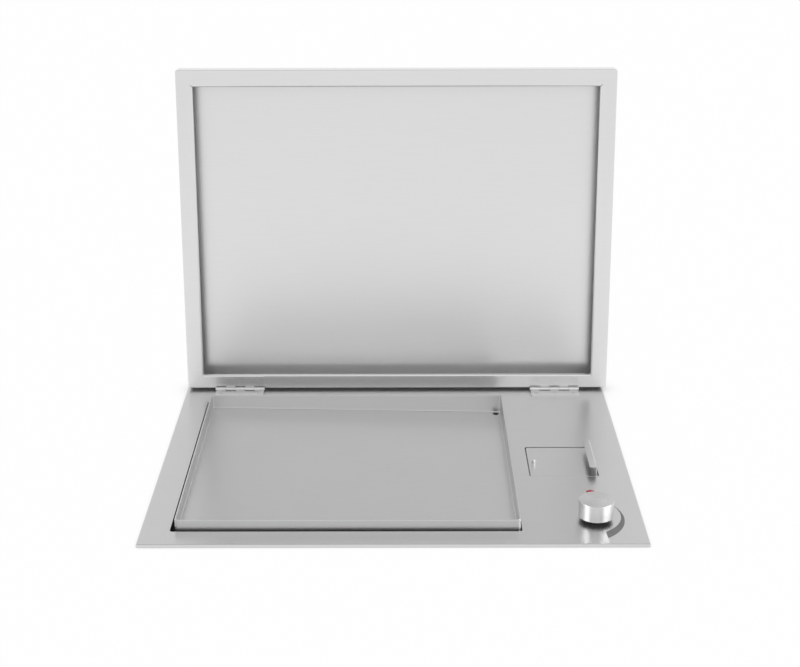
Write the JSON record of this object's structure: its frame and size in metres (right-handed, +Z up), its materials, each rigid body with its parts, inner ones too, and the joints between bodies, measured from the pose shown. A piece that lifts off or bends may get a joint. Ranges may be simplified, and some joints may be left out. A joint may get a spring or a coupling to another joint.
{
  "type": "built-in electric plancha",
  "caption": "Drop-in electric plancha: brushed steel panel with a raised sloping cooking tray, hinged lid, control knob, pilot lamp and a lift-out grease cup.",
  "frame": {"origin": "middle of the panel on the worktop plane, at the underside of the rim and seal", "axes": "+X to the right, +Y to the back where the lid is hinged, +Z up out of the worktop"},
  "size_m": [0.7055, 0.6139, 0.6547],
  "materials": {
    "brushed_panel": "fine brushed stainless steel, grain along the width",
    "brushed_lid": "fine brushed stainless steel, grain along the width",
    "brushed_tray": "satin stainless steel cooking surface",
    "hinge_steel": "satin stainless steel",
    "fastener_steel": "bright stainless fasteners",
    "turned_knob": "turned and polished metal",
    "spindle_steel": "ground steel",
    "black_gasket": "matt black silicone",
    "red_lens": "translucent red polycarbonate",
    "galvanised_sheet": "galvanised steel sheet",
    "bright_reflector": "bright aluminised sheet",
    "spreader_aluminium": "mill-finish aluminium plate",
    "element_sheath": "oxidised dark sheath",
    "insulation_fibre": "pressed mineral-fibre board",
    "copper_probe": "copper tube",
    "drain_steel": "plain stainless steel",
    "black_moulding": "black heat-resistant moulding",
    "white_moulding": "white ceramic-filled moulding"
  },
  "bodies": {
    "base": {"top_panel": "brushed_panel", "griddle_tray": "brushed_tray", "panel_hinge_leaf_left": "hinge_steel", "panel_hinge_leaf_right": "hinge_steel", "hinge_pin_left": "hinge_steel", "hinge_pin_right": "hinge_steel", "panel_hinge_screws": "fastener_steel", "panel_hinge_nuts": "fastener_steel", "casing_screws": "fastener_steel", "levelling_screws": "fastener_steel", "levelling_nuts": "fastener_steel", "clamp_bar_nuts": "fastener_steel", "reflector_nuts": "fastener_steel", "clamp_screws": "fastener_steel", "earth_stud": "fastener_steel", "thermostat_nut": "fastener_steel", "pilot_lamp_nut": "fastener_steel", "knob_bezel": "black_gasket", "worktop_seal": "black_gasket", "pilot_lamp_lens": "red_lens", "casing": "galvanised_sheet", "casing_bottom": "galvanised_sheet", "partition": "galvanised_sheet", "support_brackets": "galvanised_sheet", "clamp_brackets": "galvanised_sheet", "element_clamp_bars": "galvanised_sheet", "probe_clips": "galvanised_sheet", "reflector_pan": "bright_reflector", "heat_spreader": "spreader_aluminium", "heating_element_front": "element_sheath", "heating_element_rear": "element_sheath", "insulation_board": "insulation_fibre", "thermostat_probe": "copper_probe", "drain_spout": "drain_steel", "drain_pipe": "drain_steel", "drip_well": "drain_steel", "thermostat_body": "black_moulding", "pilot_lamp_body": "black_moulding", "safety_cutout": "black_moulding", "cable_gland": "black_moulding", "gland_nut": "black_moulding", "terminal_block": "white_moulding"},
    "lid": {"lid_skin": "brushed_lid", "lid_frame": "brushed_lid", "lid_hinge_leaf_left": "hinge_steel", "lid_hinge_leaf_right": "hinge_steel", "lid_hinge_screws": "fastener_steel", "lid_hinge_nuts": "fastener_steel"},
    "knob": {"control_knob": "turned_knob", "thermostat_spindle": "spindle_steel"},
    "grease_cup": {"drip_cup": "drain_steel", "drip_cover": "brushed_panel", "cover_stud": "fastener_steel"},
    "clamp_front_left": {"clamp_arm_front_left": "galvanised_sheet"},
    "clamp_front_right": {"clamp_arm_front_right": "galvanised_sheet"},
    "clamp_rear_left": {"clamp_arm_rear_left": "galvanised_sheet"},
    "clamp_rear_right": {"clamp_arm_rear_right": "galvanised_sheet"}
  },
  "joints": [
    {"name": "lid_hinge", "type": "hinge", "parent": "base", "child": "lid", "pos_m": [0, 0.244, 0.0089], "axis": [-1, 0, 0], "range_deg": [-95.3, 0]},
    {"name": "knob_turn", "type": "hinge", "parent": "base", "child": "knob", "pos_m": [0.2835, -0.216, 0.02], "axis": [0, 0, 1], "range_deg": [-172, 0]},
    {"name": "grease_cup_lift", "type": "slide", "parent": "base", "child": "grease_cup", "axis": [0, 0, 1], "range_m": [0, 0.115]},
    {"name": "clamp_front_left_swing", "type": "hinge", "parent": "base", "child": "clamp_front_left", "pos_m": [-0.3315, -0.169, -0.045], "axis": [0, 0, 1], "range_deg": [-90, 0]},
    {"name": "clamp_front_right_swing", "type": "hinge", "parent": "base", "child": "clamp_front_right", "pos_m": [0.3315, -0.169, -0.045], "axis": [0, 0, 1], "range_deg": [0, 90]},
    {"name": "clamp_rear_left_swing", "type": "hinge", "parent": "base", "child": "clamp_rear_left", "pos_m": [-0.3315, 0.131, -0.045], "axis": [0, 0, 1], "range_deg": [-90, 0]},
    {"name": "clamp_rear_right_swing", "type": "hinge", "parent": "base", "child": "clamp_rear_right", "pos_m": [0.3315, 0.131, -0.045], "axis": [0, 0, 1], "range_deg": [0, 90]}
  ]
}
